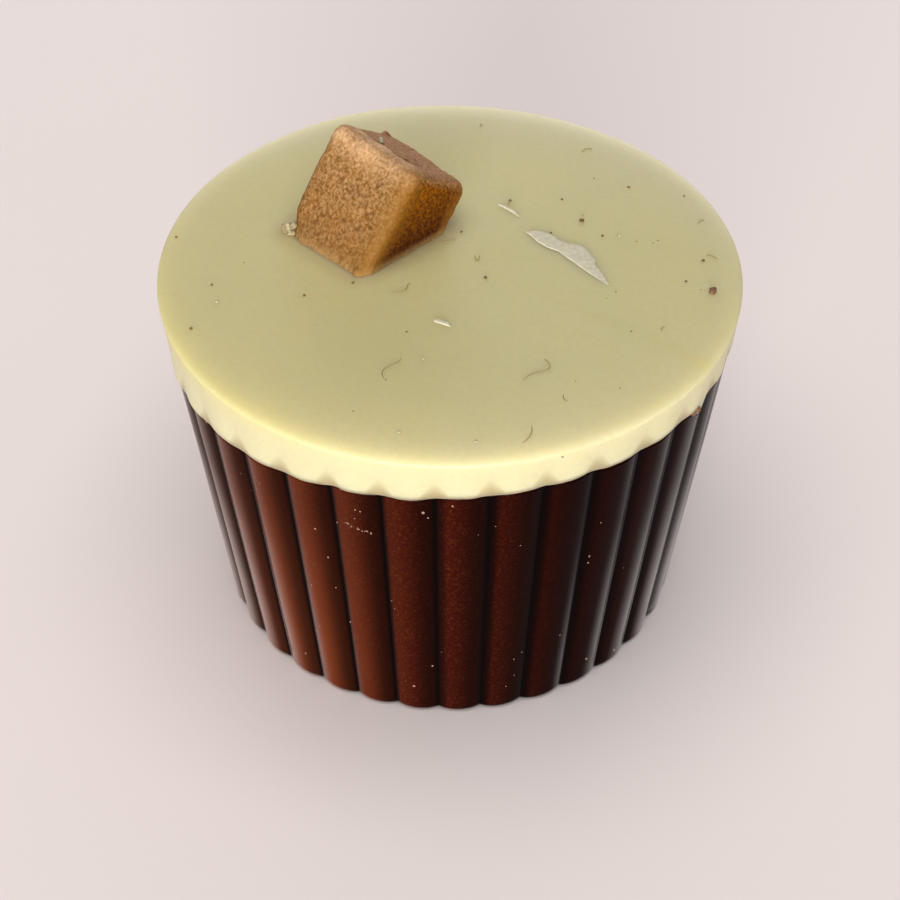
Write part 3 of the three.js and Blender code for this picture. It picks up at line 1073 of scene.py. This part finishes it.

# %% [markdown]
# ### Fudge
#
# Fudge is sugar that has grained: dull, tan, and speckled, with light crystals every
# few tenths of a millimetre, and painted shade darkens its pits and the low places of
# its grain. The right side is darker, like caramel, and darker still towards its foot,
# the crust on top is redder and duller, and the edges are smooth and paler or more
# golden: partly rubbed by handling, partly painted light. The crack is painted dark, a
# painted shade. These parts are speckled too: each mixes two shades by the same grain.
# The crystals' share falls towards the foot, so the block is darker low down. A
# little light passes through fudge, and a film of white chocolate has crept up its
# foot.

# %% Fudge
def grained_fudge():
    material, tree, place = new_material("grained_fudge")
    grains = {"Vector": place, "Scale": per_mm(0.2), "Detail": 3.0, "Roughness": 0.65}
    speckle = add(tree, "TexNoise", grains)
    clouds = add(tree, "TexNoise", {"Vector": place, "Scale": per_mm(1.6), "Detail": 2.0})
    names = ("pit", "crack", "right_side", "upper_side")
    names += ("standing_edge", "upper_edge", "far_edge", "above_top")
    part = {name: add(tree, "Attribute", output="Fac", attribute_name=name) for name in names}
    above = part["above_top"]
    grain = (speckle, 0.38, 0.66)
    tan = painted(tree, "#70491F", [(clouds, 0.38, 0.62, 1.0, EVEN, "#7B4E19")])
    low_caramel = painted(tree, "#240800", [(*grain, 1.0, EVEN, "#4E2000")])
    high_caramel = painted(tree, "#562A00", [(*grain, 1.0, EVEN, "#9A5C00")])
    # The right side is darker towards its foot.
    caramel = painted(tree, low_caramel, [(above, 0.5, 4.5, 1.0, EVEN, high_caramel)])
    crust = painted(tree, "#845736", [(*grain, 1.0, EVEN, "#B08156")])
    pale = painted(tree, "#BC8F62", [(*grain, 1.0, EVEN, "#DDB68A")])
    # The crystals' share falls towards the foot, so the block is darker low down.
    lighter = {"Value": above, "From Min": 0.3, "From Max": 4.0, "To Min": 0.5}
    sugary = add(tree, "MapRange", lighter)
    patches = {"Value": clouds, "From Min": 0.35, "From Max": 0.6, "To Min": 0.45, "To Max": 0.95}
    patchy = add(tree, "MapRange", patches)
    # Of these coats, the pits and the crack are painted shade, and the three edges are partly
    # wear and partly painted light.
    coats = (
        (*grain, sugary, EVEN, "#AE8759"),  # crystals
        (part["pit"], 0.15, 0.9, 0.45, EVEN, "#4F2E10"),
        (part["right_side"], 0.45, 0.95, 1.0, EVEN, caramel),
        (part["standing_edge"], 0.1, 1.0, 0.75, EVEN, "#83591A"),
        (part["far_edge"], 0.1, 1.0, 0.85, EVEN, "#8D5F22"),
        (part["upper_side"], 0.4, 0.9, 1.0, EVEN, crust),
        (part["upper_edge"], 0.15, 1.0, patchy, EVEN, pale),
        (above, 0.7, 0.0, 0.35, EASED, "#B0905C"),  # the film of white
        (part["crack"], 0.0, 1.0, 1.0, EVEN, "#3A2014"),
    )
    inputs = {
        "Base Color": painted(tree, tan, coats),
        "Roughness": 0.65,
        "IOR": 1.2,
        "Subsurface Weight": 0.2,
        "Subsurface Radius": (1.0, 0.5, 0.2),
        "Subsurface Scale": 0.5 * MM,
        "Normal": add(tree, "Bump", {"Height": speckle, "Distance": 0.05 * MM}),
    }
    add(tree, "OutputMaterial", {"Surface": add(tree, "BsdfPrincipled", inputs)})
    return material


finish_piece(block, grained_fudge(), "fudge", "fudge_block")

# %% [markdown]
# ### Small finishes
#
# Shavings scatter light at their torn faces, so they look whiter and duller than the
# chocolate that they came from. Specks of it are greyer, and the lump at the block's
# corner is a darker tan. Crumbs are dark chocolate without a moulded face.
# Curls are thin enough to look olive against the ivory. The dust on the wall is pale
# and a little pink from the chocolate under it.

# %% Finishes of the small pieces
def crumbly(name, dark, light, size):
    """A dull finish of two shades that noise of one size mixes, with its relief, a
    tenth as deep as it is wide."""
    material, tree, place = new_material(name)
    grain = add(tree, "TexNoise", {"Vector": place, "Scale": per_mm(size), "Detail": 3.0})
    colour = painted(tree, dark, [(grain, 0.35, 0.65, 1.0, EVEN, light)])
    relief = add(tree, "Bump", {"Height": grain, "Distance": size * 0.1 * MM})
    inputs = {"Base Color": colour, "Roughness": 0.65, "Normal": relief}
    add(tree, "OutputMaterial", {"Surface": add(tree, "BsdfPrincipled", inputs)})
    return material


torn_white = crumbly("torn_white_chocolate", "#BEB79C", "#CEC7AC", 0.3)
finish_piece(shaving_piece, torn_white, "white_chocolate", "white_chocolate_layer")
dull_white = crumbly("white_chocolate_crumb", "#A0977A", "#BDB596", 0.15)
finish_piece(specks, dull_white, "white_chocolate", "white_chocolate_layer")
# The lump at the block's corner is a darker tan.
tan_white = crumbly("tan_white_chocolate", "#83714C", "#ACA07A", 0.2)
finish_piece(corner_lump, tan_white, "white_chocolate", "white_chocolate_layer")
broken_dark = crumbly("broken_dark_chocolate", "#5A3A22", "#80583A", 0.12)
finish_piece(crumbs, broken_dark, "dark_chocolate")
finish_piece(curls, crumbly("dry_strand", "#857549", "#9C8C60", 0.2), "white_chocolate")
finish_piece(wall_specks, crumbly("pale_dust", "#7C5546", "#A88572", 0.12), "white_chocolate")

# %% [markdown]
# ## Floor, light and camera
#
# The bonbon stands on a plain pale floor that fills the view. A broad soft light
# stands low in front, a little to the left, so that the white band glows while the top
# stays calm. A light overhead fills the top, and a faint one low behind lays a sheen
# along the far rim. The floor itself draws the bright lines on the flanks of the
# flutes, which reflect it.

# %% Floor
FLOOR_SIDE = 6000.0


def floor_material():
    material, tree, place = new_material("pale_floor")
    tone = add(tree, "TexNoise", {"Vector": place, "Scale": per_mm(60), "Detail": 2.0})
    colour = painted(tree, "#EADEDA", [(tone, 0.0, 1.0, 1.0, EVEN, "#EDE2DE")])
    shader = add(tree, "BsdfPrincipled", {"Base Color": colour, "Roughness": 0.7})
    add(tree, "OutputMaterial", {"Surface": shader})
    return material


half = FLOOR_SIDE / 2
floor_points = [[-half, -half, 0], [half, -half, 0], [half, half, 0], [-half, half, 0]]
floor = make_piece("floor", floor_points, [[0, 1, 2, 3]])
floor.data.materials.append(floor_material())

# %% Lights
LIGHT_DISTANCE = 1500
BACKDROP_STRENGTH = 0.22


def aimed(name, data, aim_height, bearing, elevation, distance):
    """A light or a camera that looks at a point of the axis from so many millimetres
    away, at a bearing and an elevation in degrees."""
    flat, up = np.cos(np.radians(elevation)), np.sin(np.radians(elevation))
    way = Vector(around(np.array(bearing), flat, up).tolist())
    thing = bpy.data.objects.new(name, data)
    thing.location = (Vector((0, 0, aim_height)) + way * distance) * MM
    thing.rotation_euler = (-way).to_track_quat("-Z", "Y").to_euler()
    bpy.context.scene.collection.objects.link(thing)
    print(f"{name} at", [round(c / MM, 1) for c in thing.location], "mm")
    return thing


def soft_light(name, bearing, elevation, size, power):
    """An area light aimed at the bonbon's middle, its size in millimetres."""
    data = bpy.data.lights.new(name, "AREA")
    data.shape = "RECTANGLE"
    data.size, data.size_y = (side * MM for side in size)
    data.energy = power
    aimed(name, data, HEIGHT / 2, bearing, elevation, LIGHT_DISTANCE)


soft_light("low_front", bearing=-6, elevation=7, size=(750, 300), power=30)
soft_light("low_back", bearing=178, elevation=10, size=(1600, 300), power=9)
soft_light("overhead", bearing=-20, elevation=82, size=(1500, 1500), power=16)

world = bpy.data.worlds.new("studio")
world.use_nodes = True
backdrop = world.node_tree.nodes["Background"].inputs
backdrop["Color"].default_value = linear("#F4F0F1")
backdrop["Strength"].default_value = BACKDROP_STRENGTH
bpy.context.scene.world = world
bpy.context.scene.view_settings.view_transform = "Standard"

# %% Camera
CAMERA_ELEVATION = 42.5
CAMERA_DISTANCE = 140.0
AIM_HEIGHT = 8.746
FOCAL_LENGTH = 86.94

camera_data = bpy.data.cameras.new("camera")
camera_data.lens = FOCAL_LENGTH
camera_data.clip_start = 0.01
camera = aimed("camera", camera_data, AIM_HEIGHT, 0, CAMERA_ELEVATION, CAMERA_DISTANCE)
bpy.context.scene.camera = camera
